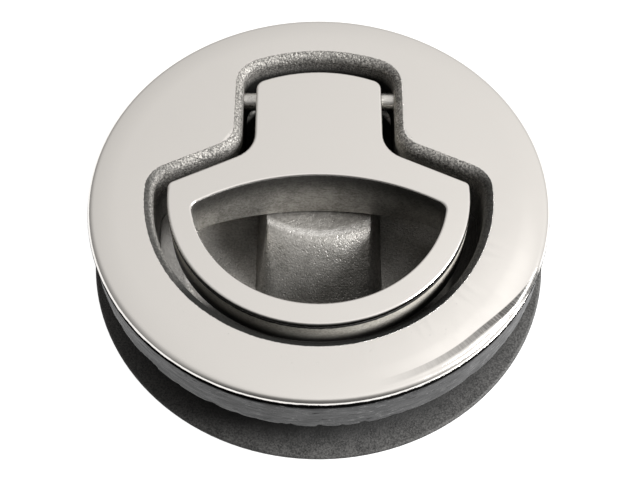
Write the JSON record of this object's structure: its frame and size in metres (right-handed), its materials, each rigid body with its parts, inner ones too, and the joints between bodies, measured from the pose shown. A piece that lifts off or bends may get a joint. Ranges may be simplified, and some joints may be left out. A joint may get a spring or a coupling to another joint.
{
  "type": "flush pull ring latch",
  "caption": "Round flush latch with a polished flange and a recessed pull ring that draws back a spring bolt, with a gasket and a clamp ring for a panel hole.",
  "frame": {"origin": "on the barrel axis at the panel surface, the lower face of the gasket", "axes": "+Z out of the polished face, +Y the way the bolt throws, +X to the right seen with the bolt at the back"},
  "size_m": [0.063, 0.0659, 0.0278],
  "materials": {
    "polished_steel": "mirror polished on the face, as cast in the pocket and below",
    "plain_steel": "plain machined or drawn stainless steel",
    "rubber": "dark grey moulded rubber, lightly scuffed",
    "nylon": "grainy matt black moulding"
  },
  "bodies": {
    "housing": {"body": "polished_steel", "gasket": "rubber", "ring_nut": "nylon", "pivot_pin": "plain_steel", "keeper_plate": "plain_steel", "keeper_screws": "plain_steel", "bolt_spring": "plain_steel"},
    "handle": {"handle": "polished_steel"},
    "bolt": {"bolt": "plain_steel"}
  },
  "joints": [
    {"name": "handle_hinge", "type": "hinge", "parent": "housing", "child": "handle", "pos_m": [0, 0.0173, 0.0043], "axis": [-1, 0, 0], "range_deg": [0, 40], "stiffness_Nm_per_rad": 0.048, "springref_deg": -45.09},
    {"name": "bolt_slide", "type": "slide", "parent": "housing", "child": "bolt", "axis": [0, -1, 0], "range_m": [0, 0.00888], "deforming": ["bolt_spring"]}
  ],
  "couplings": [
    {"joint": "bolt_slide", "follows": "handle_hinge", "m_per_rad": 0.0127}
  ]
}
